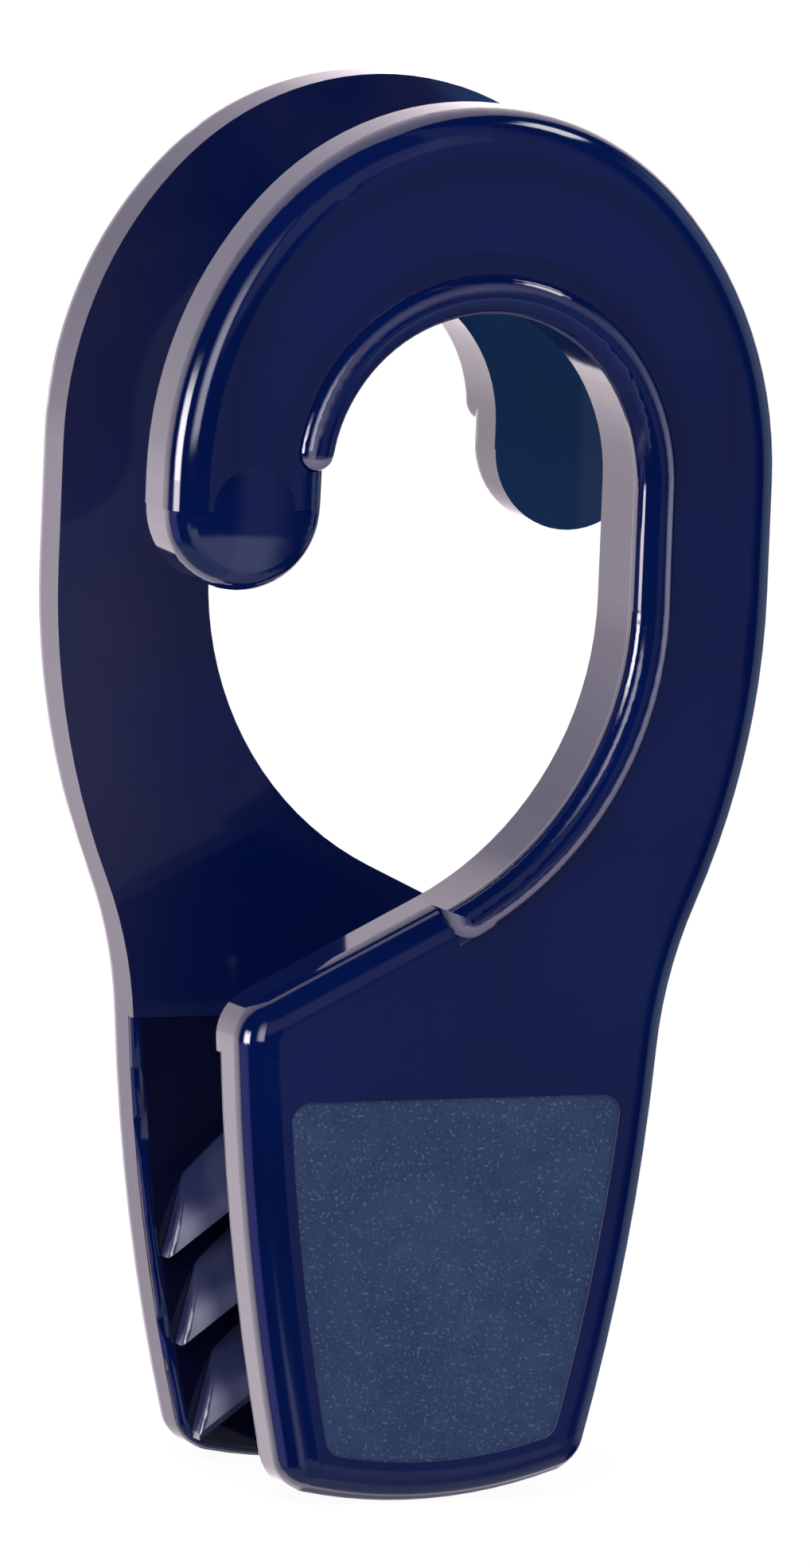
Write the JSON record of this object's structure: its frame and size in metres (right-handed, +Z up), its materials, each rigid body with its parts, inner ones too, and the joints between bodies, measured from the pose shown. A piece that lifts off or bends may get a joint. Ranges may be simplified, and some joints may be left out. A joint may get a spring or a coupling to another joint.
{
  "type": "fender hanger",
  "caption": "One-piece plastic hanger: two opposed hooks clip over a rail, and toothed grooves below hold a fender's line.",
  "frame": {"origin": "middle of the lowest edge, on the hanger's vertical centre line and midway between its two hooks", "axes": "+Z up towards the crown of the hooks, Y along the rail with the front hook at -Y, +X towards the front hook's arm"},
  "size_m": [0.064, 0.0398, 0.1354],
  "materials": {
    "body_plastic": "deep navy plastic moulded to a high gloss, with a fine matt grain on the sunk panel of each outer face"
  },
  "bodies": {
    "root": {"hanger_body": "body_plastic"}
  },
  "joints": []
}
